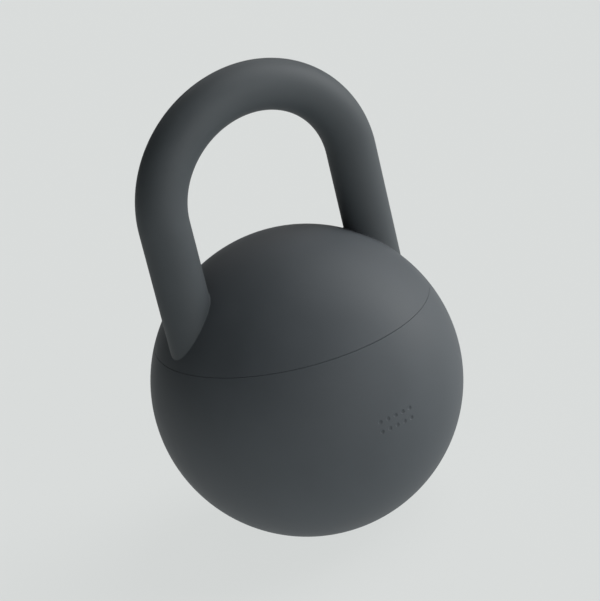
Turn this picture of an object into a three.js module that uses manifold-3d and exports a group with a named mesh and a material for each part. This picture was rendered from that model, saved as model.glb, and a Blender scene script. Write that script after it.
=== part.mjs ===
// A 10 lb kettlebell: a U-shaped grip bar over a ball that closes on a hairline seam.
// Inside the ball the bar bolts through a steel yoke, which carries a stack of iron plates.
// Millimetres, +Z up, origin at the centre of the base pad's underside, grip in the X-Z plane.

import * as THREE from 'three';
import { mergeVertices } from 'three/addons/utils/BufferGeometryUtils.js';
import Module from 'manifold-3d';

const wasm = await Module();
wasm.setup();

// ---------------------------------------------------------------- driving dimensions

const BALL_R = 82.5;                    // outside of the ball
const WALL = 4;                         // both shells
const BASE_R = 32;                      // flat that the ball stands on
const PAD_PROUD = 0.8;                  // how far the base pad stands below that flat
const SEAM_SHARE = 0.45;                // height of the seam above the ball's centre, over BALL_R

const GRIP_R = 13.2;                    // outside of the soft sleeve
const BAR_R = 9;                        // steel bar inside it
const LEG_X = 58;                       // the two legs stand at plus and minus this
const ARCH_SPRING = 109.7;              // legs end and the arch starts, above the ball's centre
const ARCH_RISE = 52.6;                 // the arch is half an ellipse, LEG_X by this

const GAP = 0.3;                        // moulding and bolt clearance
const FACE_GAP = 0.1;                   // between flat faces that are clamped together
const SLIP = 0.5;                       // round what slides inside the bowl as it closes
const SKIN = 1;                         // what is joined inside a shell stops this far below its outside
const BITE = 1;                         // how far joined solids run into one another

// ---------------------------------------------------------------- worked out from them

const INNER_R = BALL_R - WALL;
const BASE_DROP = Math.sqrt(BALL_R ** 2 - BASE_R ** 2);   // centre down to the flat
const BALL_Z = BASE_DROP + PAD_PROUD;                     // centre above the floor
const SEAM_Z = BALL_R * SEAM_SHARE;                       // from here on z is from the ball's centre
const DOME_RIM_Z = SEAM_Z + GAP / 2;
const BOWL_RIM_Z = SEAM_Z - GAP / 2;

// Leg seat: a counterbore in the dome, then gasket, collar and sleeve from the bottom up.
const SEAT_Z = SEAM_Z + 0.8;
const GASKET_T = 1;
const COLLAR_T = 1.7;
const GASKET_Z = SEAT_Z + FACE_GAP;
const COLLAR_Z = GASKET_Z + GASKET_T + FACE_GAP;
const SLEEVE_END_Z = COLLAR_Z + COLLAR_T + FACE_GAP;
const COLLAR_STEP = 3.6;
const COLLAR_R = BAR_R + COLLAR_STEP;
const BORE_R = BAR_R + GAP;
const SEAT_R = GRIP_R + GAP;
const CUP_WALL = 2.7;
const CUP_R = SEAT_R + CUP_WALL;
const CUP_FOOT_Z = SEAM_Z - 3;          // the cup's floor, below the seam
const SOCKET_R = COLLAR_R;              // the tube that stands on the yoke, under the cup

// Yoke, and what the leg studs need under it.
const YOKE_TOP = 12;
const YOKE_T = 8;
const YOKE_END_R = 17;
const STUD_R = 7;
const STUD_END_Z = -12;
const WASHER_T = 2;
const LEG_WASHER_R = 12;
const NUT_T = 11;
const NUT_FLATS = 22;

// Weight stack, from the yoke down.
const STACK_TOP = YOKE_TOP - YOKE_T - FACE_GAP;
const CORE_WEIGHT = { r: 42.5, t: 17.3 };
const WEIGHT_PLATE = { r: 55, t: 10.6, count: 3 };
const WEIGHT_CHAMFER = 1.2;
const CUSHION = { r: 30, t: 3 };

// Tie bolt through the stack, its head in the foot of the bowl.
const BOLT_R = 5;
const BOLT_HOLE_R = BOLT_R + 0.6;
const BOLT_END_Z = YOKE_TOP - 0.5;
const HEAD_R = 8;
const HEAD_T = 10;
const HEX_FLATS = 8;
const HEX_DEPTH = 5;
const BOLT_WASHER_R = 9;

// Foot of the bowl.
const PAD_R = 30.2;
const PAD_T = 2.7;
const PAD_SEAT_Z = -BASE_DROP - PAD_PROUD + PAD_T + FACE_GAP;
const PAD_EDGE = 0.8;
const FLOOR_T = 4.5;
const FLOOR_Z = PAD_SEAT_Z + FLOOR_T;
const HEAD_WELL_R = BOLT_WASHER_R + GAP;
const HEAD_Z = PAD_SEAT_Z + FACE_GAP;
const HEAD_WELL_TOP = HEAD_Z + HEAD_T + WASHER_T + 2 * FACE_GAP;
const PILLAR_R = 15;

// Locating skirt on the dome, and the cord seal in the bowl's rim.
const SKIRT_R = Math.sqrt(INNER_R ** 2 - SEAM_Z ** 2) - SLIP;
const SKIRT_T = 1.5;
const SKIRT_DROP = 4;
const SEAL_RING_R = 71.4;
const SEAL_CORD_R = 0.85;
const SEAL_GROOVE = { half: 1.1, depth: 1.9 };

const RIB_T = 3;
const RIB_COUNT = 6;
const RIB_CLEAR = 6;                    // the bowl's ribs stop this far below the cushion
const WEB_DEPTH = 22;                   // the dome's webs, down from the inside of the crown

const ROUND = 48;                       // facets round the ball and the weights
const LATITUDE_STEP = 7.5;              // degrees a facet, from the ball's crown to its foot
const SMALL_ROUND = 24;                 // facets round the legs, bolts and rings
const ARCH_STEPS = 22;                  // sections round the arch, with one more for each leg

// ---------------------------------------------------------------- finishes

const finish = (color, roughness, metalness) =>
  new THREE.MeshStandardMaterial({ color, roughness, metalness });
const SOFT_TOUCH = finish(0x4a4e51, 0.55, 0);
const SEAL_RUBBER = finish(0x161718, 0.8, 0);
const ZINCED_STEEL = finish(0xa9adb1, 0.35, 1);
const CAST_IRON = finish(0x3b3c3e, 0.7, 1);

// ---------------------------------------------------------------- solids and shapes

/** A closed geometry as a manifold-3d solid. */
function solid(geometry) {
  const bare = geometry.index ? geometry.toNonIndexed() : geometry.clone();
  bare.deleteAttribute('normal');
  bare.deleteAttribute('uv');
  const merged = mergeVertices(bare, 1e-4);
  return new wasm.Manifold(new wasm.Mesh({
    numProp: 3,
    vertProperties: merged.attributes.position.array,
    triVerts: new Uint32Array(merged.index.array),
  }));
}

/** A manifold-3d solid as a geometry with flat normals. */
function geometryOf(body) {
  const mesh = body.getMesh();
  const geometry = new THREE.BufferGeometry();
  geometry.setAttribute('position', new THREE.BufferAttribute(mesh.vertProperties, 3));
  geometry.setIndex(new THREE.BufferAttribute(mesh.triVerts, 1));
  geometry.computeVertexNormals();
  return geometry;
}

/** [radius, z] points turned about the Z axis. */
function turned(points, facets = ROUND) {
  const profile = points.map(([r, z]) => new THREE.Vector2(r, z));
  return new THREE.LatheGeometry(profile, facets).rotateX(Math.PI / 2);
}

/** An upright cylinder or tube between two heights. */
function tube(outer, inner, low, high, facets = SMALL_ROUND) {
  const start = inner > 0 ? inner : 0;
  const loop = [[start, low], [outer, low], [outer, high], [start, high]];
  if (inner > 0) loop.push(loop[0]);
  return turned(loop, facets);
}

const cylinder = (r, low, high, x = 0) => solid(tube(r, 0, low, high).translate(x, 0, 0));
const ball = (r) => solid(turned(arc(r, -90, 90)));
const box = (x, y, z) => new THREE.BoxGeometry(x, y, z);

/** [radius, z] points on a circle about the ball's centre, between two latitudes in degrees. */
function arc(r, from, to) {
  const steps = Math.ceil(Math.abs(to - from) / LATITUDE_STEP);
  return Array.from({ length: steps + 1 }, (_, i) => {
    const latitude = THREE.MathUtils.degToRad(from + (to - from) * i / steps);
    const out = Math.abs(Math.cos(latitude)) < 1e-9 ? 0 : r * Math.cos(latitude);
    return [out, r * Math.sin(latitude)];
  });
}

const latitudeOf = (r, z) => THREE.MathUtils.radToDeg(Math.asin(z / r));

/** A regular hexagon by the distance across its flats. */
function hexagon(flats) {
  const corner = flats / Math.sqrt(3);
  const points = Array.from({ length: 6 }, (_, i) =>
    new THREE.Vector2(corner * Math.cos(i * Math.PI / 3), corner * Math.sin(i * Math.PI / 3)));
  return new THREE.Shape(points);
}

/** A circle as a shape, or as a hole in one. */
function circle(r, x = 0, kind = THREE.Shape) {
  const outline = new kind();
  outline.absarc(x, 0, r, 0, Math.PI * 2, false);
  return outline;
}

/** A flat outline made solid upwards from z = low. */
function extruded(shape, low, height) {
  const options = { depth: height, bevelEnabled: false, curveSegments: SMALL_ROUND / 2 };
  return new THREE.ExtrudeGeometry(shape, options).translate(0, 0, low);
}

/**
 * The grip's centre line in the X-Z plane: up the left leg, over half an ellipse and down the
 * right leg to footZ. Each leg is one step of a sweep and the arch is all the others, so that
 * the sleeve and the bar in it have their sections at the same places.
 */
class GripLine extends THREE.Curve {
  constructor(footZ) {
    super();
    this.footZ = footZ;
  }

  getUtoTmapping(u) {
    return u;
  }

  getPoint(t, target = new THREE.Vector3()) {
    const step = t * (ARCH_STEPS + 2);
    if (step < 1) return target.set(-LEG_X, 0, this.legZ(step));
    if (step > ARCH_STEPS + 1) return target.set(LEG_X, 0, this.legZ(ARCH_STEPS + 2 - step));
    const turn = Math.PI * (1 - (step - 1) / ARCH_STEPS);
    return target.set(LEG_X * Math.cos(turn), 0, ARCH_SPRING + ARCH_RISE * Math.sin(turn));
  }

  legZ(share) {
    return this.footZ + (ARCH_SPRING - this.footZ) * share;
  }
}

/** A section swept along the grip's centre line. */
function swept(section, footZ, facets) {
  const options = {
    steps: ARCH_STEPS + 2,
    extrudePath: new GripLine(footZ),
    bevelEnabled: false,
    curveSegments: facets / 2,
  };
  return new THREE.ExtrudeGeometry(section, options);
}

const SIDES = { left: -1, right: 1 };

// ---------------------------------------------------------------- grip

/** Bent steel bar: a collar over each leg seat, and a stud below each shoulder. */
function handleBar() {
  let bar = solid(swept(circle(BAR_R), YOKE_TOP + FACE_GAP, SMALL_ROUND));
  for (const side of Object.values(SIDES)) {
    const x = side * LEG_X;
    bar = bar
      .add(cylinder(COLLAR_R, COLLAR_Z, COLLAR_Z + COLLAR_T, x))
      .add(cylinder(STUD_R, STUD_END_Z, YOKE_TOP + BITE, x));
  }
  return geometryOf(bar);
}

/** Soft sleeve over all of the bar that shows. */
function gripSleeve() {
  const section = circle(GRIP_R);
  section.holes.push(circle(BAR_R + GAP, 0, THREE.Path));
  return swept(section, SLEEVE_END_Z, SMALL_ROUND);
}

// ---------------------------------------------------------------- shells

/** Upper shell, with its locating skirt and two cups that the legs seat in. */
function upperDome() {
  const skirtIn = SKIRT_R - SKIRT_T;
  const skirtRoot = latitudeOf(INNER_R, Math.sqrt(INNER_R ** 2 - skirtIn ** 2));
  const skirtFoot = DOME_RIM_Z - SKIRT_DROP;
  let dome = solid(turned([
    ...arc(INNER_R, 90, skirtRoot),
    [skirtIn, skirtFoot],
    [SKIRT_R, skirtFoot],
    [SKIRT_R, DOME_RIM_Z],
    ...arc(BALL_R, latitudeOf(BALL_R, DOME_RIM_Z), 90),
  ]));
  const insideDome = ball(BALL_R - SKIN);
  const insideBowl = ball(INNER_R - SLIP);
  const high = BALL_R;

  // Webs that stiffen the crown, one along the grip and one across it.
  const webs = [box(2 * LEG_X, RIB_T, WEB_DEPTH), box(RIB_T, 2 * LEG_X, WEB_DEPTH)];
  for (const web of webs) {
    const body = solid(web.translate(0, 0, INNER_R + BITE - WEB_DEPTH / 2)).intersect(insideDome);
    dome = dome.add(body);
  }
  for (const side of Object.values(SIDES)) {
    const x = side * LEG_X;
    dome = dome
      .add(cylinder(CUP_R, DOME_RIM_Z, high, x).intersect(insideDome))
      .add(cylinder(CUP_R, CUP_FOOT_Z, DOME_RIM_Z + BITE, x).intersect(insideBowl))
      .add(cylinder(SOCKET_R, YOKE_TOP + GAP, DOME_RIM_Z, x).intersect(insideBowl));
  }
  for (const side of Object.values(SIDES)) {
    const x = side * LEG_X;
    dome = dome
      .subtract(cylinder(SEAT_R, SEAT_Z, high, x))
      .subtract(cylinder(BORE_R, 0, high, x));
  }
  return geometryOf(dome);
}

/** Lower shell, with its seal groove, pad seat, bolt pillar and ribs. */
function lowerBowl() {
  const groove = SEAL_GROOVE;
  const floorLatitude = latitudeOf(INNER_R, FLOOR_Z);
  const footLatitude = latitudeOf(BALL_R, -BASE_DROP);
  const rimLatitude = latitudeOf(BALL_R, BOWL_RIM_Z);
  let bowl = solid(turned([
    [0, PAD_SEAT_Z],
    [PAD_R + GAP, PAD_SEAT_Z],
    [PAD_R + GAP, -BASE_DROP],
    ...arc(BALL_R, footLatitude, 0),
    ...arc(BALL_R, 0, rimLatitude).slice(1),
    [SEAL_RING_R + groove.half, BOWL_RIM_Z],
    [SEAL_RING_R + groove.half, BOWL_RIM_Z - groove.depth],
    [SEAL_RING_R - groove.half, BOWL_RIM_Z - groove.depth],
    [SEAL_RING_R - groove.half, BOWL_RIM_Z],
    ...arc(INNER_R, latitudeOf(INNER_R, BOWL_RIM_Z), floorLatitude),
    [0, FLOOR_Z],
  ]));
  const insideWall = ball(BALL_R - SKIN);
  const ribFoot = PAD_SEAT_Z + BITE;
  const ribTop = CUSHION_FOOT - RIB_CLEAR;
  const rib = box(2 * BALL_R, RIB_T, ribTop - ribFoot);
  const ribMiddle = (ribTop + ribFoot) / 2;
  for (let i = 0; i < RIB_COUNT / 2; i++) {
    const across = rib.clone().rotateZ(i * 2 * Math.PI / RIB_COUNT).translate(0, 0, ribMiddle);
    bowl = bowl.add(solid(across).intersect(insideWall));
  }
  bowl = bowl
    .add(cylinder(PILLAR_R, ribFoot, CUSHION_FOOT - FACE_GAP))
    .subtract(cylinder(BOLT_HOLE_R, -BALL_R, 0))
    .subtract(cylinder(HEAD_WELL_R, -BALL_R, HEAD_WELL_TOP));
  return geometryOf(bowl);
}

/** Rubber cord in the bowl's rim, closed against the dome. */
function seamSeal() {
  const middle = BOWL_RIM_Z - SEAL_CORD_R;
  return new THREE.TorusGeometry(SEAL_RING_R, SEAL_CORD_R, 6, ROUND).translate(0, 0, middle);
}

/** Rubber foot that hides the bolt, with its lower edge broken. */
function basePad() {
  const low = -BASE_DROP - PAD_PROUD;
  return turned([
    [0, low],
    [PAD_R - PAD_EDGE, low],
    [PAD_R, low + PAD_EDGE],
    [PAD_R, low + PAD_T],
    [0, low + PAD_T],
  ]);
}

// ---------------------------------------------------------------- yoke and weights

/** Steel plate with round ends that joins the legs and carries the weights. */
function yokePlate() {
  const plate = new THREE.Shape();
  plate.absarc(LEG_X, 0, YOKE_END_R, -Math.PI / 2, Math.PI / 2, false);
  plate.absarc(-LEG_X, 0, YOKE_END_R, Math.PI / 2, Math.PI * 1.5, false);
  plate.holes.push(circle(BOLT_R + GAP, 0, THREE.Path));
  for (const side of Object.values(SIDES)) {
    plate.holes.push(circle(STUD_R + GAP, side * LEG_X, THREE.Path));
  }
  return extruded(plate, YOKE_TOP - YOKE_T, YOKE_T);
}

/** Cast iron plate with chamfered rims, given by its top face. */
function weight({ r, t }, top) {
  const low = top - t;
  const c = WEIGHT_CHAMFER;
  const loop = [
    [BOLT_HOLE_R, low], [r - c, low], [r, low + c],
    [r, top - c], [r - c, top], [BOLT_HOLE_R, top],
  ];
  return turned([...loop, loop[0]]);
}

const WEIGHT_TOPS = Array.from({ length: WEIGHT_PLATE.count }, (_, i) =>
  STACK_TOP - CORE_WEIGHT.t - FACE_GAP - i * (WEIGHT_PLATE.t + FACE_GAP));
const CUSHION_TOP = WEIGHT_TOPS.at(-1) - WEIGHT_PLATE.t - FACE_GAP;
const CUSHION_FOOT = CUSHION_TOP - CUSHION.t;

// ---------------------------------------------------------------- fasteners

const ring = (outer, inner, low, thick) => tube(outer, inner, low, low + thick);

/** Hexagon nut on a leg's stud. */
function legNut() {
  const shape = hexagon(NUT_FLATS);
  shape.holes.push(circle(STUD_R + GAP, 0, THREE.Path));
  return extruded(shape, YOKE_TOP - YOKE_T - WASHER_T - NUT_T - 2 * FACE_GAP, NUT_T);
}

/** Socket head bolt, from the foot of the bowl up into the yoke. */
function tieBolt() {
  const head = cylinder(HEAD_R, HEAD_Z, HEAD_Z + HEAD_T);
  const shank = cylinder(BOLT_R, HEAD_Z + BITE, BOLT_END_Z);
  const socket = solid(extruded(hexagon(HEX_FLATS), HEAD_Z - BITE, HEX_DEPTH + BITE));
  return geometryOf(head.add(shank).subtract(socket));
}

// ---------------------------------------------------------------- assembly

const assembly = new THREE.Group();
assembly.position.z = BALL_Z;

function add(name, geometry, material, x = 0) {
  const mesh = new THREE.Mesh(geometry, material);
  mesh.name = name;
  mesh.position.x = x;
  assembly.add(mesh);
}

add('handle_bar', handleBar(), ZINCED_STEEL);
add('grip_sleeve', gripSleeve(), SOFT_TOUCH);
add('upper_dome', upperDome(), SOFT_TOUCH);
add('lower_bowl', lowerBowl(), SOFT_TOUCH);
add('seam_seal', seamSeal(), SEAL_RUBBER);
add('base_pad', basePad(), SEAL_RUBBER);
add('yoke_plate', yokePlate(), ZINCED_STEEL);

for (const [side, sign] of Object.entries(SIDES)) {
  const x = sign * LEG_X;
  const washerZ = YOKE_TOP - YOKE_T - FACE_GAP - WASHER_T;
  add(`leg_gasket_${side}`, ring(COLLAR_R, BORE_R, GASKET_Z, GASKET_T), SEAL_RUBBER, x);
  add(`leg_washer_${side}`, ring(LEG_WASHER_R, STUD_R + GAP, washerZ, WASHER_T), ZINCED_STEEL, x);
  add(`leg_nut_${side}`, legNut(), ZINCED_STEEL, x);
}

add('core_weight', weight(CORE_WEIGHT, STACK_TOP), CAST_IRON);
WEIGHT_TOPS.forEach((top, i) => add(`weight_plate_${i + 1}`, weight(WEIGHT_PLATE, top), CAST_IRON));
add('stack_cushion', ring(CUSHION.r, BOLT_HOLE_R, CUSHION_FOOT, CUSHION.t), SEAL_RUBBER);

const boltWasherZ = HEAD_Z + HEAD_T + FACE_GAP;
add('tie_bolt', tieBolt(), ZINCED_STEEL);
add('tie_bolt_washer', ring(BOLT_WASHER_R, BOLT_R + GAP, boltWasherZ, WASHER_T), ZINCED_STEEL);

const kettlebell = new THREE.Group();
kettlebell.add(assembly);

export default kettlebell;
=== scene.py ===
from math import asin, ceil, cos, degrees, pi, radians, sin, sqrt, tan

import bmesh
import bpy
from mathutils import Matrix, Quaternion, Vector


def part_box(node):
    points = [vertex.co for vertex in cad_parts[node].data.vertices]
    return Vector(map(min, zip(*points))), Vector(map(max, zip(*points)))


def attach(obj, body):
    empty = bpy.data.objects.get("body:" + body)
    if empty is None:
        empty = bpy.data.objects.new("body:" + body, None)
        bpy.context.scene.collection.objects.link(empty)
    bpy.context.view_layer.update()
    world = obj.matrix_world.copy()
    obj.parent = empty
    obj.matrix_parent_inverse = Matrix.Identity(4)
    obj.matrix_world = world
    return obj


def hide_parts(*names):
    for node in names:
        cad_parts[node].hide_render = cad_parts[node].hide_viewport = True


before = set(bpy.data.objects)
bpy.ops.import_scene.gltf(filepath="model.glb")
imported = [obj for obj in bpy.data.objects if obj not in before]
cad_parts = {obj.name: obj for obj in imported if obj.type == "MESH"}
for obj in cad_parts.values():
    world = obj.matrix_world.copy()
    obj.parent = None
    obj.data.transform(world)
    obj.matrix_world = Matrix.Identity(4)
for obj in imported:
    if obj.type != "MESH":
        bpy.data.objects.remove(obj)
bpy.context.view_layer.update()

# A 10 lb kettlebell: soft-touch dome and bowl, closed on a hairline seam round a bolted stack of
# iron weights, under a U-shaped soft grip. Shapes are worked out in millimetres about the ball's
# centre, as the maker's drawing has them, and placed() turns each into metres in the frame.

MM = 0.001
LEFT, RIGHT = -1, 1
FRONT = Vector((0, 1, 0))

# ---------------------------------------------------------------- sizes taken from the frame


def corners(node):
    """A CAD node's lowest and highest corner in millimetres."""
    low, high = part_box(node)
    return low / MM, high / MM


def width(node):
    """A CAD node's size front to back."""
    low, high = corners(node)
    return high.y - low.y


BALL_R = width("lower_bowl") / 2
BALL_Z = corners("upper_dome")[1].z - BALL_R        # the ball's centre, above the floor
GRIP_R = width("grip_sleeve") / 2
LEG_X = corners("grip_sleeve")[1].x - GRIP_R


def foot(node):
    """Where a CAD node starts, above the ball's centre."""
    return corners(node)[0].z - BALL_Z


def top(node):
    """Where a CAD node stops, above the ball's centre."""
    return corners(node)[1].z - BALL_Z


# ---------------------------------------------------------------- driving dimensions, mm

WALL = 4                                # both shells
INNER_R = BALL_R - WALL
GAP = 0.3                               # moulding and bolt clearance
FIT = 0.05                              # what parts that touch keep between them
SEAM_Z = top("lower_bowl") + GAP / 2
SEAM_GAP = 0.16                         # the shells close to this under the tie bolt
SEAM_EDGE = 0.12                        # radius on the two shell edges along the seam
BASE_Z = foot("lower_bowl")             # the flat that the ball stands on
BASE_R = sqrt(BALL_R ** 2 - BASE_Z ** 2)

ARCH_RISE = 52.6                        # the grip's arch is half an ellipse
ARCH_SPRING = top("grip_sleeve") - GRIP_R - ARCH_RISE
BAR_R = 9
LIP = 0.45                              # radius of the soft lip where a leg meets the dome
LIP_EDGE = 0.04                         # how thick the lip is where it runs out

YOKE_TOP, YOKE_FOOT = top("yoke_plate"), foot("yoke_plate")
STUD_R = 7
BOLT_R = 5
BOLT_HOLE_R = 5.6

ROUND = 192                             # facets round the ball
LEG_ROUND = 96                          # facets round the grip and its feet
BOLT_ROUND = 64                         # facets round a bolt, nut or washer

# ---------------------------------------------------------------- camera

# It looks down a little from the front left, turned so that the kettlebell leans in the picture.
AZIMUTH, ELEVATION, ROLL = -28.09, 22.45, -13.8
DISTANCE = 1277                         # from the ball's centre
AIM_ACROSS, AIM_UP = -3.62, 41.9        # the middle of the picture, from the ball's centre
LENS, SENSOR = 144.8, 36


def studio_camera():
    az, el, roll = radians(AZIMUTH), radians(ELEVATION), radians(ROLL)
    back = Vector((sin(az) * cos(el), -cos(az) * cos(el), sin(el)))
    level = Vector((0, 0, 1)).cross(back).normalized()
    rise = back.cross(level)
    across = level * cos(roll) + rise * sin(roll)
    upward = rise * cos(roll) - level * sin(roll)

    centre = Vector((0, 0, BALL_Z))
    eye = centre + back * DISTANCE
    aim = centre + across * AIM_ACROSS + upward * AIM_UP
    swing = back.rotation_difference(eye - aim).to_matrix()

    data = bpy.data.cameras.new("studio_camera")
    data.lens, data.sensor_width = LENS, SENSOR
    data.clip_start, data.clip_end = 0.05, 50
    camera = bpy.data.objects.new("studio_camera", data)
    facing = swing @ Matrix((across, upward, back)).transposed()
    camera.matrix_world = Matrix.Translation(eye * MM) @ facing.to_4x4()
    bpy.context.scene.collection.objects.link(camera)
    bpy.context.scene.camera = camera


# ---------------------------------------------------------------- mesh work

TO_FRAME = Matrix.Scale(MM, 4) @ Matrix.Translation((0, 0, BALL_Z))


def body(name, points, faces):
    """An object with a mesh in millimetres about the ball's centre."""
    mesh = bpy.data.meshes.new(name)
    mesh.from_pydata([tuple(p) for p in points], [], faces)
    made = bpy.data.objects.new(name, mesh)
    bpy.context.scene.collection.objects.link(made)
    return made


def through(name, rings, closed=False):
    """A surface through rings of points. Closed, it joins the last ring to the first.
    Otherwise a last ring of one point is a tip, and a longer one is capped."""
    points, starts = [], []
    for ring in rings:
        starts.append(len(points))
        points.extend(ring)
    pairs = [(i, i + 1) for i in range(len(rings) - 1)]
    if closed:
        pairs.append((len(rings) - 1, 0))
    faces = []
    for a, b in pairs:
        n, m = len(rings[a]), len(rings[b])
        for i in range(max(n, m)):
            j = i + 1
            near = starts[a] + i % n, starts[a] + j % n
            far = starts[b] + j % m, starts[b] + i % m
            faces.append(tuple(dict.fromkeys(near + far)))
    if not closed and len(rings[0]) > 1:
        faces.append(tuple(reversed(range(len(rings[0])))))
    if not closed and len(rings[-1]) > 1:
        faces.append(tuple(range(starts[-1], len(points))))
    return body(name, points, faces)


def turned(name, outline, facets=ROUND, x=0):
    """A closed [radius, z] outline turned about an upright axis that stands at x."""
    rings = []
    for r, z in outline:
        angles = [2 * pi * i / facets for i in range(facets)] if r > 1e-6 else [0]
        rings.append([(x + r * cos(a), r * sin(a), z) for a in angles])
    return through(name, rings, closed=len(rings[0]) > 1)


def eased(outline, steps=4):
    """An outline of (r, z) and (r, z, radius) corners, with each that has a radius rounded."""
    made = []
    for i, (r, z, *ease) in enumerate(outline):
        if not ease:
            made.append((r, z))
            continue
        here = Vector((r, z))
        before = Vector(outline[i - 1][:2]) - here
        after = Vector(outline[(i + 1) % len(outline)][:2]) - here
        half = before.angle(after) / 2
        reach = min(ease[0] / tan(half), before.length * 0.49, after.length * 0.49)
        start = here + before.normalized() * reach
        end = here + after.normalized() * reach
        for k in range(steps + 1):
            # a quadratic curve is as near an arc as an edge this small needs
            t = k / steps
            made.append(tuple(start * (1 - t) ** 2 + here * (2 * t * (1 - t)) + end * t ** 2))
    return made


def arc(r, start, end, step=1.5):
    """[radius, z] points on a circle about the ball's centre, between two latitudes in degrees."""
    steps = ceil(abs(end - start) / step)
    angles = [radians(start + (end - start) * i / steps) for i in range(steps + 1)]
    return [(r * cos(a) if abs(cos(a)) > 1e-9 else 0, r * sin(a)) for a in angles]


def latitude(r, z):
    return degrees(asin(z / r))


def rod(r, low, high, x=0, ease=0.01, facets=LEG_ROUND):
    """An upright cylinder with its edges rounded."""
    return turned("rod", eased([(0, low), (r, low, ease), (r, high, ease), (0, high)]), facets, x)


def ring(name, outer, inner, low, high, ease, x=0, facets=BOLT_ROUND):
    """A flat ring with its edges rounded."""
    outline = [(inner, low, ease), (outer, low, ease), (outer, high, ease), (inner, high, ease)]
    return turned(name, eased(outline), facets, x)


def ball(r):
    return turned("ball", arc(r, -90, 90, 3), 96)


def prism(name, outline, low, high, ease=0.4):
    """An outline of plan points, given by a function of how far they're drawn in, made solid."""
    rings = []
    for z, inset in ((low, ease), (low + ease, 0), (high - ease, 0), (high, ease)):
        rings.append([(px, py, z) for px, py in outline(inset)])
    return through(name, rings)


def combined(piece, other, how):
    """Unites piece with other, cuts other from it or keeps what they share; other is used up."""
    step = piece.modifiers.new(how, "BOOLEAN")
    step.operation, step.object, step.solver = how, other, "MANIFOLD"
    now = bpy.context.evaluated_depsgraph_get()
    result = bpy.data.meshes.new_from_object(piece.evaluated_get(now))
    piece.modifiers.clear()
    piece.data = result
    bpy.data.objects.remove(other)
    return piece


def united(piece, *others):
    for other in others:
        combined(piece, other, "UNION")
    return piece


def cut(piece, *others):
    for other in others:
        combined(piece, other, "DIFFERENCE")
    return piece


def shared(piece, other):
    return combined(piece, other, "INTERSECT")


def placed(piece, node, material, crease=35):
    """Puts a finished shape in the frame, in place of its CAD node."""
    mesh = piece.data
    mesh.transform(TO_FRAME)
    tidy = bmesh.new()
    tidy.from_mesh(mesh)
    bmesh.ops.remove_doubles(tidy, verts=tidy.verts, dist=1e-7)
    bmesh.ops.recalc_face_normals(tidy, faces=tidy.faces)
    tidy.to_mesh(mesh)
    tidy.free()
    mesh.shade_smooth()
    mesh.set_sharp_from_angle(angle=radians(crease))
    mesh.materials.clear()
    mesh.materials.append(material)
    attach(piece, "root")
    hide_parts(node)
    return piece


def follow_the_ball(piece):
    """Shades the outside of a shell as the true ball, across the facets that cuts leave."""
    centre, near = Vector((0, 0, BALL_Z * MM)), 0.03 * MM
    mesh = piece.data
    normals = [Vector(corner.vector) for corner in mesh.corner_normals]
    for face in mesh.polygons:
        out = [mesh.vertices[v].co - centre for v in face.vertices]
        if all(abs(way.length - BALL_R * MM) < near for way in out):
            for loop, way in zip(face.loop_indices, out):
                normals[loop] = way.normalized()
    mesh.normals_split_custom_set(normals)


# ---------------------------------------------------------------- finishes


def linear(colour):
    """An sRGB hex colour as linear RGBA."""
    parts = [int(colour[i:i + 2], 16) / 255 for i in (1, 3, 5)]
    return [c / 12.92 if c <= 0.04045 else ((c + 0.055) / 1.055) ** 2.4 for c in parts] + [1]


def per(mm):
    """A texture's scale for a pattern with one grain, pit or thread in so many millimetres."""
    return 1 / (mm * MM)


def feed(made, inputs):
    """Sets a node's sockets, each to a value or linked to a socket or another node's first."""
    for key, value in inputs.items():
        if isinstance(value, bpy.types.Node):
            value = value.outputs[0]
        if isinstance(value, bpy.types.NodeSocket):
            made.id_data.links.new(value, made.inputs[key])
        else:
            made.inputs[key].default_value = value


def node(tree, kind, inputs, **settings):
    """Adds a node with its settings, values and links."""
    made = tree.nodes.new("ShaderNode" + kind)
    for key, value in settings.items():
        setattr(made, key, value)
    feed(made, inputs)
    return made


def finish(name, **settings):
    """A material with its shader's constants set, and the object's own coordinates."""
    material = bpy.data.materials.new(name)
    material.use_nodes = True
    tree = material.node_tree
    shader = tree.nodes["Principled BSDF"]
    feed(shader, {key.replace("_", " "): value for key, value in settings.items()})
    where = node(tree, "TexCoord", {}).outputs["Object"]
    return material, tree, shader, where


SHELL, SHELL_PALE, SHELL_SCUFF = "#41464a", "#454a4e", "#575b5e"
SLEEVE, SLEEVE_PALE = "#3d4245", "#414649"
SOFT_TOUCH = {"IOR": 1.45, "Specular_IOR_Level": 0.35}      # a velvet face dulls its shine


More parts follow.
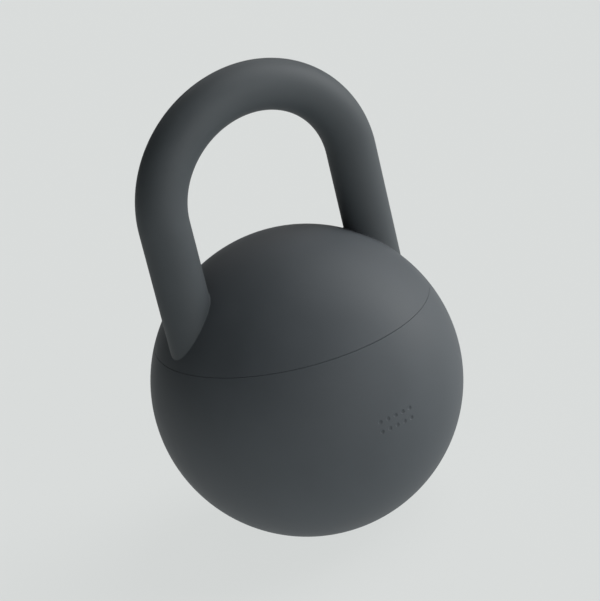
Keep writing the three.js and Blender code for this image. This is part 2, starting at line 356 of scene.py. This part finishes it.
def soft_touch_paint():
    """Soft-touch polyurethane paint sprayed on moulded ABS: a velvety charcoal that spreads its
    highlights wide, with a faint orange peel, and scuffs where the ball is stood down."""
    material, tree, shader, where = finish("soft_touch_painted_abs", **SOFT_TOUCH)
    # the spray's flow marks are about 25 mm across
    cloud = node(tree, "TexNoise", {"Vector": where, "Scale": per(25), "Detail": 3})
    share = node(tree, "MapRange", {"Value": cloud, "From Min": 0.3, "From Max": 0.7})
    sprayed = node(tree, "MixRGB", {"Fac": share, "Color1": linear(SHELL),
                                    "Color2": linear(SHELL_PALE)})

    # scuffs: short specks within 5 mm of the floor
    place = node(tree, "SeparateXYZ", {"Vector": where})
    low = node(tree, "MapRange", {"Value": place.outputs["Z"], "From Min": 1 * MM,
                                  "From Max": 5 * MM, "To Min": 1, "To Max": 0})
    speck = node(tree, "TexNoise", {"Vector": where, "Scale": per(2.5), "Detail": 4,
                                    "Roughness": 0.7})
    sharp = node(tree, "MapRange", {"Value": speck, "From Min": 0.55, "From Max": 0.62})
    scuffed = node(tree, "Math", {0: low, 1: sharp}, operation="MULTIPLY")
    colour = node(tree, "MixRGB", {"Fac": scuffed, "Color1": sprayed,
                                   "Color2": linear(SHELL_SCUFF)})
    rough = node(tree, "MapRange", {"Value": cloud, "From Min": 0.3, "From Max": 0.7,
                                    "To Min": 0.56, "To Max": 0.64})

    peel = node(tree, "TexNoise", {"Vector": where, "Scale": per(1.5)})
    waves = node(tree, "Bump", {"Height": peel, "Distance": 0.004 * MM})
    # real paint grain is 0.05 mm, so it's drawn ten times as coarse to show at all
    grain = node(tree, "TexNoise", {"Vector": where, "Scale": per(0.5)})
    velvet = node(tree, "Bump", {"Height": grain, "Distance": 0.0012 * MM, "Normal": waves})
    feed(shader, {"Base Color": colour, "Roughness": rough, "Normal": velvet})
    return material


def soft_touch_rubber():
    """Overmoulded soft-touch elastomer: charcoal like the shells, a shade darker and drier than
    their paint, and polished by palms over the crown."""
    material, tree, shader, where = finish("overmoulded_soft_elastomer", **SOFT_TOUCH)
    cloud = node(tree, "TexNoise", {"Vector": where, "Scale": per(18), "Detail": 3})
    share = node(tree, "MapRange", {"Value": cloud, "From Min": 0.3, "From Max": 0.7})
    colour = node(tree, "MixRGB", {"Fac": share, "Color1": linear(SLEEVE),
                                   "Color2": linear(SLEEVE_PALE)})

    # palms reach the top 60 mm of the grip and take the dryness off it
    place = node(tree, "SeparateXYZ", {"Vector": where})
    crown = (BALL_Z + top("grip_sleeve")) * MM
    palm = node(tree, "MapRange", {"Value": place.outputs["Z"], "From Min": crown - 60 * MM,
                                   "From Max": crown})
    dry = node(tree, "MapRange", {"Value": cloud, "From Min": 0.3, "From Max": 0.7,
                                  "To Min": 0.6, "To Max": 0.68})
    rough = node(tree, "Math", {0: palm, 1: -0.07, 2: dry}, operation="MULTIPLY_ADD")

    # the mould is spark-eroded to a 0.1 mm grain, drawn at 0.6 mm so that it shows
    spark = node(tree, "TexNoise", {"Vector": where, "Scale": per(0.6), "Detail": 3})
    grain = node(tree, "Bump", {"Height": spark, "Distance": 0.002 * MM})
    sink = node(tree, "TexNoise", {"Vector": where, "Scale": per(3)})
    soft = node(tree, "Bump", {"Height": sink, "Distance": 0.004 * MM, "Normal": grain})
    feed(shader, {"Base Color": colour, "Roughness": rough, "Normal": soft})
    return material


def moulded_rubber():
    """Black EPDM rubber, compression moulded: nearly no shine, a grey bloom in patches, and
    the fine matt grain of its mould."""
    material, tree, shader, where = finish("moulded_epdm_rubber", IOR=1.5)
    bloom = node(tree, "TexNoise", {"Vector": where, "Scale": per(9), "Detail": 4,
                                    "Roughness": 0.6})
    share = node(tree, "MapRange", {"Value": bloom, "From Min": 0.42, "From Max": 0.7})
    colour = node(tree, "MixRGB", {"Fac": share, "Color1": linear("#1a1b1c"),
                                   "Color2": linear("#2b2c2d")})
    rough = node(tree, "MapRange", {"Value": bloom, "From Min": 0.3, "From Max": 0.7,
                                    "To Min": 0.7, "To Max": 0.85})
    # real mould grain is 0.1 mm, drawn four times as coarse to show
    mould = node(tree, "TexNoise", {"Vector": where, "Scale": per(0.4), "Detail": 3})
    grain = node(tree, "Bump", {"Height": mould, "Distance": 0.006 * MM})
    feed(shader, {"Base Color": colour, "Roughness": rough, "Normal": grain})
    return material


def zinc_plate():
    """Turned steel, bright zinc plated: a cool silver with clouded passivation and the fine
    rings that the lathe leaves, which draw its highlights out."""
    material, tree, shader, where = finish("zinc_plated_steel", Metallic=1)
    cloud = node(tree, "TexNoise", {"Vector": where, "Scale": per(6), "Detail": 4,
                                    "Roughness": 0.6})
    share = node(tree, "MapRange", {"Value": cloud, "From Min": 0.3, "From Max": 0.7})
    colour = node(tree, "MixRGB", {"Fac": share, "Color1": linear("#a9aeb2"),
                                   "Color2": linear("#bfc0bb")})
    rough = node(tree, "MapRange", {"Value": cloud, "From Min": 0.3, "From Max": 0.7,
                                    "To Min": 0.26, "To Max": 0.42})
    # turning marks are 0.1 mm apart, drawn at 0.35 mm: noise pressed flat along the axis
    squat = node(tree, "Mapping", {"Vector": where, "Scale": (0.04, 0.04, 1)})
    marks = node(tree, "TexNoise", {"Vector": squat, "Scale": per(0.35)})
    rings = node(tree, "Bump", {"Height": marks, "Distance": 0.004 * MM})
    feed(shader, {"Base Color": colour, "Roughness": rough, "Normal": rings})
    return material


def cast_iron():
    """Grey iron, sand cast and dipped in black lacquer: a lumpy 1 mm sand grain with small
    pits, a little rust, and lacquer that pools glossy between the grains."""
    material, tree, shader, where = finish("lacquered_sand_cast_iron", Metallic=0)
    lump = node(tree, "TexNoise", {"Vector": where, "Scale": per(7)})
    share = node(tree, "MapRange", {"Value": lump, "From Min": 0.3, "From Max": 0.7})
    lacquer = node(tree, "MixRGB", {"Fac": share, "Color1": linear("#2a2b2c"),
                                    "Color2": linear("#3b3c3e")})
    bleed = node(tree, "TexNoise", {"Vector": where, "Scale": per(12), "Detail": 5,
                                    "Roughness": 0.7})
    rust = node(tree, "MapRange", {"Value": bleed, "From Min": 0.6, "From Max": 0.72,
                                   "To Max": 0.5})
    colour = node(tree, "MixRGB", {"Fac": rust, "Color1": lacquer, "Color2": linear("#4a3629")})

    sand = node(tree, "TexNoise", {"Vector": where, "Scale": per(1.1), "Detail": 4,
                                   "Roughness": 0.6})
    rough = node(tree, "MapRange", {"Value": sand, "From Min": 0.3, "From Max": 0.7,
                                    "To Min": 0.35, "To Max": 0.6})
    cells = node(tree, "TexVoronoi", {"Vector": where, "Scale": per(4)})
    pit = node(tree, "MapRange", {"Value": cells, "From Min": 0.08, "From Max": 0.2})
    lumpy = node(tree, "Bump", {"Height": lump, "Distance": 0.12 * MM})
    sandy = node(tree, "Bump", {"Height": sand, "Distance": 0.05 * MM, "Normal": lumpy})
    pitted = node(tree, "Bump", {"Height": pit, "Distance": 0.1 * MM, "Normal": sandy})
    feed(shader, {"Base Color": colour, "Roughness": rough, "Normal": pitted})
    return material


# ---------------------------------------------------------------- grip


def round_the_grip(centre, inward, r, facets=LEG_ROUND):
    """Points round the grip's line; inward is square to it, towards the hand window."""
    angles = [2 * pi * i / facets for i in range(facets)]
    return [centre + inward * (r * cos(a)) + FRONT * (r * sin(a)) for a in angles]


def grip_line(start, leg_step=4, arch_steps=96):
    """(centre, inward) stations up the left leg from a height, over the arch and down again."""
    steps = ceil((ARCH_SPRING - start) / leg_step)
    leg = [start + (ARCH_SPRING - start) * i / steps for i in range(steps)]
    line = [(Vector((-LEG_X, 0, z)), Vector((1, 0, 0))) for z in leg]
    for i in range(arch_steps + 1):
        t = pi * i / arch_steps
        centre = Vector((-LEG_X * cos(t), 0, ARCH_SPRING + ARCH_RISE * sin(t)))
        inward = Vector((ARCH_RISE * cos(t), 0, -LEG_X * sin(t))).normalized()
        line.append((centre, inward))
    return line + [(Vector((LEG_X, 0, z)), Vector((-1, 0, 0))) for z in reversed(leg)]


def on_ball(x, y, r=BALL_R):
    """The point above (x, y) on a ball of radius r."""
    return Vector((x, y, sqrt(r * r - x * x - y * y)))


LIP_TOP = 80                            # the foot's mesh runs up to here, then the grip's line


def lip_rings(side, steps=8, leg_steps=14):
    """A leg's foot from its end up to LIP_TOP: down in its seat, under the lip, over the
    fillet that rolls off the dome, and up the leg."""
    axis = Vector((side * LEG_X, 0, 0))
    ways = round_the_grip(Vector(), Vector((-side, 0, 0)), 1)
    reach = BALL_R + LIP_EDGE + LIP
    hubs = []
    for way in ways:
        hub = axis + way * (GRIP_R + LIP)
        hubs.append(on_ball(hub.x, hub.y, reach))

    end = foot("grip_sleeve")
    rings = []
    for inset, rise in ((0.6, 0), (0.18, 0.18), (0, 0.6)):
        rings.append([axis + way * (GRIP_R - inset) + Vector((0, 0, end + rise)) for way in ways])
    rings.append([on_ball(*(axis + way * GRIP_R).xy) for way in ways])
    for k in range(steps, -1, -1):
        fillet = []
        for way, hub in zip(ways, hubs):
            to_dome = (-way).rotation_difference(-hub)
            fillet.append(hub + Quaternion().slerp(to_dome, k / steps) @ -way * LIP)
        rings.append(fillet)
    start = rings[-1]
    for k in range(1, leg_steps):
        share = k / leg_steps
        rings.append([Vector((p.x, p.y, p.z + (LIP_TOP - p.z) * share)) for p in start])
    return rings


def grip_sleeve(material):
    """Soft sleeve, moulded in one over the bar, with a lip at each foot that lands on the dome."""
    bore = BAR_R + FIT
    left, right = lip_rings(LEFT), lip_rings(RIGHT)
    outside = [round_the_grip(c, inward, GRIP_R) for c, inward in grip_line(LIP_TOP)]
    inside = [round_the_grip(c, inward, bore) for c, inward in grip_line(foot("grip_sleeve"))]
    rings = left + outside + right[::-1] + inside[::-1]
    placed(through("soft_grip_sleeve", rings, closed=True), "grip_sleeve", material)


def thread_rod(name, r, pitch, low, high, x=0, facets=BOLT_ROUND):
    """A threaded rod: a cylinder whose radius follows a helix, with pointed ends."""
    depth = 0.61 * pitch
    levels = ceil((high - low) / (pitch / 8))
    rings = [[(x, 0, low)]]
    for i in range(levels + 1):
        z = low + (high - low) * i / levels
        lead_in = min(z - low, high - z) + r - depth
        points = []
        for k in range(facets):
            turn = k / facets
            phase = (z / pitch - turn) % 1
            crest = min(1, max(0, 1.25 - abs(phase * 2 - 1) * 1.5))
            out = min(r - depth * (1 - crest), lead_in)
            points.append((x + out * cos(2 * pi * turn), out * sin(2 * pi * turn), z))
        rings.append(points)
    rings.append([(x, 0, high)])
    return through(name, rings)


def handle_bar(material):
    """Bent steel bar with a turned collar above each leg seat and a threaded stud below."""
    bevel = 0.8
    line = grip_line(YOKE_TOP + FIT + bevel)
    rings = [round_the_grip(c, inward, BAR_R, BOLT_ROUND) for c, inward in line]
    shoulders = []
    for c, inward in (line[0], line[-1]):
        low = Vector((c.x, c.y, c.z - bevel))
        shoulders.append(round_the_grip(low, inward, BAR_R - bevel, BOLT_ROUND))
    bar = through("steel_handle_bar", [shoulders[0], *rings, shoulders[1]])
    collar_r = width("leg_gasket_left") / 2
    collar_low = top("leg_gasket_left") + FIT
    collar_high = foot("grip_sleeve") - FIT
    for side in (LEFT, RIGHT):
        x = side * LEG_X
        united(bar, rod(collar_r, collar_low, collar_high, x, 0.3))
        united(bar, rod(STUD_R - 1.3, YOKE_FOOT, YOKE_TOP + 1, x))
        united(bar, thread_rod("stud", STUD_R, 2, foot("handle_bar"), YOKE_TOP - 1, x))
    placed(bar, "handle_bar", material)


# ---------------------------------------------------------------- shells

CUP_R, CUP_FOOT = 16.2, SEAM_Z - 3
SEAT_R, SEAT_Z = GRIP_R + FIT, foot("leg_gasket_left") - FIT
SOCKET_R = 12.6
SKIRT_R, SKIRT_T, SKIRT_DROP = sqrt(INNER_R ** 2 - SEAM_Z ** 2) - 0.5, 1.5, 4
WEB_T, WEB_DEPTH = 3, 22


def upper_dome(material):
    """Upper shell: locating skirt, two webs under the crown, and a cup that seats each leg."""
    rim = SEAM_Z + SEAM_GAP / 2
    skirt_in = SKIRT_R - SKIRT_T
    root = latitude(INNER_R, sqrt(INNER_R ** 2 - skirt_in ** 2))
    outline = [
        *arc(INNER_R, 90, root),
        (skirt_in, rim - SKIRT_DROP, 0.4), (SKIRT_R, rim - SKIRT_DROP, 0.4), (SKIRT_R, rim),
        (sqrt(BALL_R ** 2 - rim ** 2), rim, SEAM_EDGE),
        *arc(BALL_R, latitude(BALL_R, rim), 90)[1:],
    ]
    dome = turned("dome_shell", eased(outline))
    for turn in (0, pi / 2):
        web = prism("web", lambda inset: stadium(LEG_X - 4, WEB_T / 2 - inset, 6, turn),
                    INNER_R - WEB_DEPTH, BALL_R, 0.3)
        united(dome, shared(web, ball(BALL_R - 1)))
    for x in (LEFT * LEG_X, RIGHT * LEG_X):
        united(dome, shared(rod(CUP_R, rim, BALL_R, x), ball(BALL_R - 1)))
        united(dome, shared(rod(CUP_R, CUP_FOOT, rim + 1, x, 1), ball(INNER_R - 0.5)))
        united(dome, shared(rod(SOCKET_R, YOKE_TOP + GAP, rim, x, 0.8), ball(INNER_R - 0.5)))
    for x in (LEFT * LEG_X, RIGHT * LEG_X):
        cut(dome, rod(SEAT_R, SEAT_Z, BALL_R, x), rod(BAR_R + GAP, 0, BALL_R, x))
    follow_the_ball(placed(dome, "upper_dome", material))


def stadium(half, r, steps, turn=0):
    """Plan points round a bar with round ends, half its length between the end centres."""
    points = []
    for side, start in ((1, -pi / 2), (-1, pi / 2)):
        for k in range(steps + 1):
            a = start + pi * k / steps
            x, y = side * half + r * cos(a), r * sin(a)
            points.append((x * cos(turn) - y * sin(turn), x * sin(turn) + y * cos(turn)))
    return points


SEAL_R = 71.4                           # the cord's ring
CORD_ACROSS, CORD_RISE = 0.95, 0.85     # half its width and height once pressed
GROOVE_HALF, GROOVE_DEPTH = 1.1, 1.9
PAD_R, PAD_TOP = width("base_pad") / 2, top("base_pad")
PAD_GROOVES = (12, 18, 24)              # where the pad's grooves start, from its middle
PAD_GROOVE_WIDTH, PAD_GROOVE_DEPTH, PAD_DRAFT = 2, 0.9, 0.3
FLOOR_T = 4.5
HEAD_TOP = top("tie_bolt_washer")
HEAD_WELL_R = 9.3
PILLAR_R, PILLAR_TOP = 15, foot("stack_cushion") - FIT
RIB_T, RIB_COUNT, RIB_CLEAR = 3, 6, 6


PIP_R, PIP_DEPTH = 1.3, 0.5
PIP_PITCH, PIP_ROW_PITCH = 4.6, 5.4
PIPS_UP = 0                             # the upper row, from the middle of the ball


def weight_pips():
    """Ten plain dimples in two level rows of five, one for each pound: no lettering."""
    cutter_r = (PIP_R ** 2 + PIP_DEPTH ** 2) / (2 * PIP_DEPTH)
    reach = BALL_R + cutter_r - PIP_DEPTH
    pips = []
    for row in (0, 1):
        for place in range(-2, 3):
            swing = place * PIP_PITCH / BALL_R
            lean = (PIPS_UP - row * PIP_ROW_PITCH) / BALL_R
            out = Vector((sin(swing) * cos(lean), -cos(swing) * cos(lean), sin(lean)))
            pip = turned("pip", arc(cutter_r, -90, 90, 10), 32)
            pip.data.transform(Matrix.Translation(out * reach))
            pips.append(pip)
    return pips


def lower_bowl(material):
    """Lower shell: cord groove in the rim, pad seat, six ribs and the pillar the bolt goes up."""
    rim = SEAM_Z - SEAM_GAP / 2
    seat = PAD_TOP + FIT
    floor = seat + FLOOR_T
    outline = [
        (0, seat), (PAD_R + 0.15, seat), (PAD_R + 0.15, BASE_Z, 0.3), (BASE_R, BASE_Z, 1.2),
        *arc(BALL_R, latitude(BALL_R, BASE_Z), latitude(BALL_R, rim))[1:-1],
        (sqrt(BALL_R ** 2 - rim ** 2), rim, SEAM_EDGE),
        (SEAL_R + GROOVE_HALF, rim, 0.2), (SEAL_R + GROOVE_HALF, rim - GROOVE_DEPTH, 0.3),
        (SEAL_R - GROOVE_HALF, rim - GROOVE_DEPTH, 0.3), (SEAL_R - GROOVE_HALF, rim, 0.2),
        *arc(INNER_R, latitude(INNER_R, rim), latitude(INNER_R, floor)), (0, floor),
    ]
    bowl = turned("bowl_shell", eased(outline))
    for i in range(RIB_COUNT // 2):
        turn = 2 * pi * i / RIB_COUNT
        rib = prism("rib", lambda inset: stadium(BALL_R, RIB_T / 2 - inset, 6, turn),
                    seat + 1, PILLAR_TOP - RIB_CLEAR, 0.5)
        united(bowl, shared(rib, ball(BALL_R - 1)))
    united(bowl, rod(PILLAR_R, seat + 1, PILLAR_TOP, ease=1))
    cut(bowl, rod(BOLT_HOLE_R, -BALL_R, 0), rod(HEAD_WELL_R, -BALL_R, HEAD_TOP + FIT))
    cut(bowl, *weight_pips())
    follow_the_ball(placed(bowl, "lower_bowl", material))


def seam_seal(material):
    """Rubber cord in the bowl's rim, pressed a little oval by the dome."""
    middle = (top("seam_seal") + foot("seam_seal")) / 2
    turns = [2 * pi * k / 20 for k in range(20)]
    section = [(SEAL_R + CORD_ACROSS * cos(a), middle + CORD_RISE * sin(a)) for a in turns]
    placed(turned("rim_cord_seal", section), "seam_seal", material)


def base_pad(material):
    """Rubber foot: a flat middle, then three grooves that leave rings to grip the floor."""
    low = foot("base_pad")
    deep = low + PAD_GROOVE_DEPTH
    outline = [(0, low)]
    for r in PAD_GROOVES:
        far = r + PAD_GROOVE_WIDTH
        outline += [(r, low, 0.3), (r + PAD_DRAFT, deep, 0.2), (far - PAD_DRAFT, deep, 0.2),
                    (far, low, 0.3)]
    outline += [(PAD_R, low, 1), (PAD_R, PAD_TOP, 0.3), (0, PAD_TOP)]
    placed(turned("rubber_foot", eased(outline)), "base_pad", material)


# ---------------------------------------------------------------- yoke, weights and fasteners


def yoke_plate(material):
    """Steel plate with round ends, profile cut, with its holes and edges broken."""
    end_r = width("yoke_plate") / 2
    yoke = prism("steel_yoke", lambda inset: stadium(LEG_X, end_r - inset, 24),
                 YOKE_FOOT, YOKE_TOP, 0.6)
    for x, r in ((LEFT * LEG_X, STUD_R), (0, BOLT_R), (RIGHT * LEG_X, STUD_R)):
        cut(yoke, countersunk(r + GAP, YOKE_FOOT, YOKE_TOP, x))
    placed(yoke, "yoke_plate", material)


def countersunk(r, low, high, x=0, break_edge=0.6):
    """A hole's cutter that also breaks both of its edges."""
    wide = r + break_edge + 1
    outline = [(0, low - 1), (wide, low - 1), (r, low + break_edge), (r, high - break_edge),
               (wide, high + 1), (0, high + 1)]
    return turned("hole", outline, BOLT_ROUND, x)


def leg_fasteners(steel, rubber):
    """Each leg's gasket in the dome's seat, and its washer and nut under the yoke."""
    for side, x in (("left", LEFT * LEG_X), ("right", RIGHT * LEG_X)):
        gasket, washer, nut = f"leg_gasket_{side}", f"leg_washer_{side}", f"leg_nut_{side}"
        made = ring(f"rubber_{gasket}", width(gasket) / 2, BAR_R + FIT, foot(gasket), top(gasket),
                    0.25, x)
        placed(made, gasket, rubber)
        made = ring(f"steel_{washer}", width(washer) / 2, STUD_R + GAP, foot(washer), top(washer),
                    0.3, x)
        placed(made, washer, steel)
        placed(hexagon_nut(f"steel_{nut}", nut, x), nut, steel)


def hexagon(flats, x=0):
    """Plan points of a hexagon by its size across flats, drawn in by inset."""
    def outline(inset):
        corner = (flats / 2 - inset) / cos(pi / 6)
        turns = [pi * k / 3 for k in range(6)]
        return [(x + corner * cos(a), corner * sin(a)) for a in turns]
    return outline


def hexagon_nut(name, cad_node, x):
    """A nut with both faces turned to a 30 degree chamfer, and its thread cut through."""
    low, high, flats = foot(cad_node), top(cad_node), width(cad_node)
    nut = prism(name, hexagon(flats, x), low, high, 0.05)
    corner, drop = flats / sqrt(3), 0.9
    face_r = corner - drop / tan(radians(30))
    blank = [(0, low), (face_r, low), (corner + 0.1, low + drop), (corner + 0.1, high - drop),
             (face_r, high), (0, high)]
    shared(nut, turned("nut_blank", blank, LEG_ROUND, x))
    cut(nut, countersunk(STUD_R - 1, low, high, x, 1.4))
    return cut(nut, thread_rod("tap", STUD_R + GAP, 2, low - 3, high + 3, x))


def weight(name, cad_node, material):
    """Cast iron plate with its rim rounded and the mouth of its hole eased."""
    r, low, high = width(cad_node) / 2, foot(cad_node), top(cad_node)
    outline = [(BOLT_HOLE_R, low, 1), (r, low, 2), (r, high, 2), (BOLT_HOLE_R, high, 1)]
    placed(turned(name, eased(outline, 6), 128), cad_node, material)


def weight_stack(iron, rubber):
    """The small core weight under the yoke, three wide plates, and the cushion below them."""
    weight("iron_core_weight", "core_weight", iron)
    for i in (1, 2, 3):
        weight(f"iron_weight_plate_{i}", f"weight_plate_{i}", iron)
    cushion = ring("rubber_stack_cushion", width("stack_cushion") / 2, BOLT_HOLE_R,
                   foot("stack_cushion"), top("stack_cushion"), 0.5, facets=LEG_ROUND)
    placed(cushion, "stack_cushion", rubber)


HEAD_R, HEAD_T = 8, 10
KNURLS, KNURL_DEPTH = 48, 0.14
KEY_FLATS, KEY_DEPTH = 8, 5


def tie_bolt(material):
    """Socket head bolt: knurled head, plain shank, and a thread where it enters the yoke."""
    low, high = foot("tie_bolt"), top("tie_bolt")
    rings = [[(0, 0, low)]]
    # radius, height and tooth depth: a broken edge, the knurl, and a broken edge again
    levels = ((HEAD_R - 0.9, 0, 0), (HEAD_R - 0.2, 0.7, 0), (HEAD_R, 1.2, KNURL_DEPTH),
              (HEAD_R, HEAD_T - 0.6, KNURL_DEPTH), (HEAD_R - 0.4, HEAD_T, 0))
    for r, rise, tooth in levels:
        ring_points = []
        for k in range(2 * KNURLS):
            a = pi * k / KNURLS
            out = r - tooth * (k % 2)
            ring_points.append((out * cos(a), out * sin(a), low + rise))
        rings.append(ring_points)
    rings.append([(0, 0, low + HEAD_T)])
    bolt = through("steel_tie_bolt", rings)
    united(bolt, rod(BOLT_R, low + HEAD_T - 1, YOKE_FOOT - 8, facets=BOLT_ROUND))
    united(bolt, thread_rod("thread", BOLT_R, 1.5, YOKE_FOOT - 10, high))
    cut(bolt, prism("key_socket", hexagon(KEY_FLATS), low - 1, low + KEY_DEPTH, 0.05))
    placed(bolt, "tie_bolt", material)
    washer = "tie_bolt_washer"
    made = ring("steel_tie_bolt_washer", width(washer) / 2, BOLT_R + GAP,
                foot(washer), top(washer), 0.3)
    placed(made, washer, material)


# ---------------------------------------------------------------- stage

PALE = "#d9dcdb"
PAPER_GLOW, PAPER_MATT = 0.92, (0.08, 0.08, 0.08, 1)
ROOM_LIGHT = 0.01
FLOOR_HALF = 8000


def pale_paper():
    """Backdrop paper, mostly lit from behind: even, with only a breath of shadow on it."""
    material = bpy.data.materials.new("pale_backdrop_paper")
    material.use_nodes = True
    tree = material.node_tree
    tree.nodes.remove(tree.nodes["Principled BSDF"])
    glow = node(tree, "Emission", {"Color": linear(PALE), "Strength": PAPER_GLOW})
    matt = node(tree, "BsdfDiffuse", {"Color": PAPER_MATT})
    both = node(tree, "AddShader", {0: glow, 1: matt})
    feed(tree.nodes["Material Output"], {"Surface": both})
    return material


def studio_floor():
    low = -BALL_Z - FIT
    sides = ((-1, -1), (1, -1), (1, 1), (-1, 1))
    points = [(x * FLOOR_HALF, y * FLOOR_HALF, low) for x, y in sides]
    floor = body("studio_floor", points, [(0, 1, 2, 3)])
    floor.data.transform(TO_FRAME)
    floor.data.materials.append(pale_paper())
    floor.visible_shadow = False        # thin paper: the low lights reach through it


# Each soft light: degrees round from the front, degrees up, strength, and how wide it is.
SOFT_LIGHTS = {
    "key_side": (73, 12, 2.275, 50),
    "key_above": (78, 51, 1.592, 50),
    "front_low": (8, 2, 1.234, 50),
    "rim_behind": (150, 36, 0.421, 50),
    "front_left": (-32, 18, 0.267, 50),
    "rim_right": (118, 31, 0.14, 50),
}


def studio_lights():
    for name, (azimuth, elevation, strength, spread) in SOFT_LIGHTS.items():
        lamp = bpy.data.lights.new(name, "SUN")
        lamp.energy, lamp.angle = strength, radians(spread)
        light = bpy.data.objects.new(name, lamp)
        az, el = radians(azimuth), radians(elevation)
        toward = Vector((sin(az) * cos(el), -cos(az) * cos(el), sin(el)))
        light.matrix_world = toward.to_track_quat("Z", "Y").to_matrix().to_4x4()
        bpy.context.scene.collection.objects.link(light)


def studio_air():
    """The room beyond the floor: the same pale as the paper to look at, and nearly dark as
    light, so that the soft lights alone shape the object."""
    world = bpy.data.worlds.new("studio_air")
    world.use_nodes = True
    tree = world.node_tree
    seen = node(tree, "LightPath", {}).outputs["Is Camera Ray"]
    strength = node(tree, "MapRange", {"Value": seen, "To Min": ROOM_LIGHT, "To Max": 1})
    feed(tree.nodes["Background"], {"Color": linear(PALE), "Strength": strength})
    bpy.context.scene.world = world


def main():
    bpy.context.scene.view_settings.view_transform = "Standard"
    studio_camera()
    studio_floor()
    studio_lights()
    studio_air()

    paint, elastomer, rubber = soft_touch_paint(), soft_touch_rubber(), moulded_rubber()
    steel, iron = zinc_plate(), cast_iron()
    grip_sleeve(elastomer)
    upper_dome(paint)
    lower_bowl(paint)
    base_pad(rubber)
    seam_seal(rubber)
    handle_bar(steel)
    yoke_plate(steel)
    leg_fasteners(steel, rubber)
    weight_stack(iron, rubber)
    tie_bolt(steel)


main()
